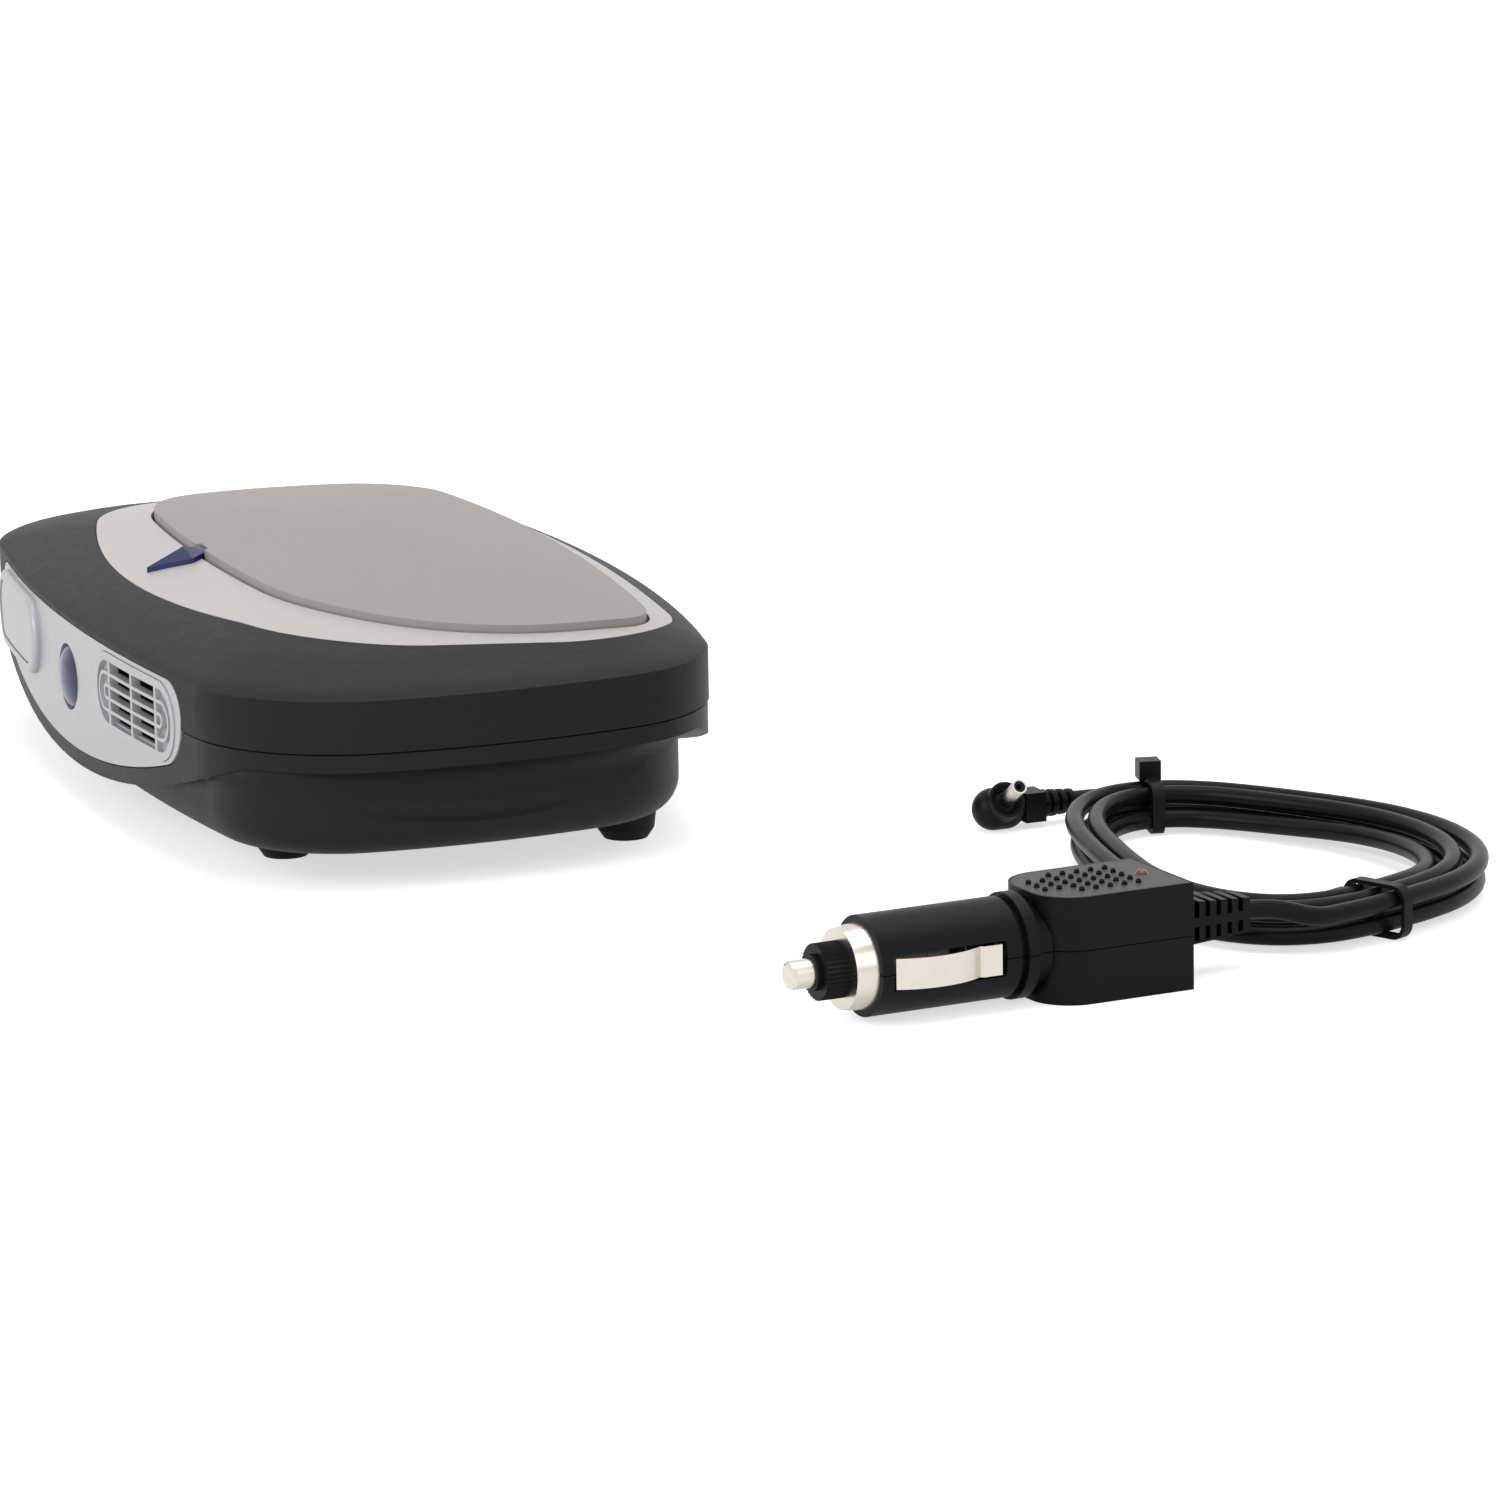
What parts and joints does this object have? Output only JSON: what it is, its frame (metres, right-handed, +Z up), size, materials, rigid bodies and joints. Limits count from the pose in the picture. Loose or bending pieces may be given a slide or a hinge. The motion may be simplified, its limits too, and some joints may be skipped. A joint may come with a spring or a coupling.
{
  "type": "car air purifier",
  "caption": "Flat oval car air purifier with a side air outlet, push button and inner blower, with its coiled lead, lighter-socket plug and small angled power plug.",
  "frame": {"origin": "on the surface that the case stands on, under the middle of the case", "axes": "+X along the case's long way, towards the lead; -Y the front with the air outlet; +Z up"},
  "size_m": [0.3988, 0.2679, 0.0619],
  "materials": {
    "case_top": "satin warm dark grey moulding",
    "case_base": "matt black moulding",
    "silver_trim": "satin silver paint on plastic",
    "grey_pad": "fine textured grey",
    "blue_lens": "dark blue tinted gloss",
    "rubber": "matt black rubber",
    "steel": "zinc plated",
    "inner_plastic": "plain dark moulding",
    "white_plastic": "plain white moulding",
    "filter_sheet": "folded filter felt",
    "board": "green circuit board",
    "nickel": "bright nickel plate",
    "black_plastic": "black moulding with a soft shine",
    "grey_satin": "satin grey plate",
    "red_lens": "red tinted gloss",
    "glass_tube": "clear glass with metal caps",
    "cord_jacket": "soft black jacket"
  },
  "bodies": {
    "case": {"upper_shell": "case_top", "lower_shell": "case_base", "trim_ring": "silver_trim", "top_pad": "grey_pad", "drop_lens": "blue_lens", "front_panel": "silver_trim", "outlet_grille": "silver_trim", "front_lens": "blue_lens", "tact_switch": "inner_plastic", "rubber_feet": "rubber", "case_screws": "steel", "blower_housing": "inner_plastic", "blower_screws": "steel", "fan_motor": "steel", "filter_frame": "inner_plastic", "filter_media": "filter_sheet", "circuit_board": "board", "control_board": "board", "indicator_leds": "blue_lens", "ioniser_module": "inner_plastic", "needle_holder": "white_plastic", "needle_electrodes": "steel", "dc_jack": "black_plastic", "adapter_upper_shell": "black_plastic", "adapter_lower_shell": "black_plastic", "adapter_top_plate": "grey_satin", "adapter_led": "red_lens", "adapter_board": "board", "nose_ring": "nickel", "fuse_nut": "black_plastic", "tip_spring": "steel", "fuse": "glass_tube", "fuse_holder": "inner_plastic", "adapter_strain_relief": "black_plastic", "power_cord_lead": "cord_jacket", "power_cord_coil": "cord_jacket", "power_cord_tail": "cord_jacket", "cord_tie_left": "rubber", "cord_tie_right": "rubber", "dc_plug_body": "black_plastic", "dc_plug_barrel": "nickel", "dc_plug_insulator": "black_plastic"},
    "fan": {"impeller": "white_plastic", "motor_shaft": "steel"},
    "button": {"control_button": "silver_trim", "switch_plunger": "inner_plastic"},
    "tip": {"tip_contact": "nickel"},
    "near_leaf": {"side_contact_near": "nickel"},
    "far_leaf": {"side_contact_far": "nickel"}
  },
  "joints": [
    {"name": "impeller_spin", "type": "hinge", "parent": "case", "child": "fan", "pos_m": [0.053, 0.002, 0.03], "axis": [0, 0, 1], "continuous": true},
    {"name": "button_press", "type": "slide", "parent": "case", "child": "button", "axis": [0, 1, 0], "range_m": [0, 0.0008], "stiffness_N_per_m": 2000},
    {"name": "tip_press", "type": "slide", "parent": "case", "child": "tip", "axis": [-0.1305, 0.9914, 0], "range_m": [0, 0.0025], "stiffness_N_per_m": 3000, "deforming": ["tip_spring"]},
    {"name": "near_leaf_flex", "type": "hinge", "parent": "case", "child": "near_leaf", "pos_m": [0.26928, 0.06066, 0.0113], "axis": [0, 0, -1], "range_deg": [0, 4], "stiffness_Nm_per_rad": 1.5},
    {"name": "far_leaf_flex", "type": "hinge", "parent": "case", "child": "far_leaf", "pos_m": [0.24965, 0.05808, 0.0113], "axis": [0, 0, 1], "range_deg": [0, 4], "stiffness_Nm_per_rad": 1.5}
  ]
}
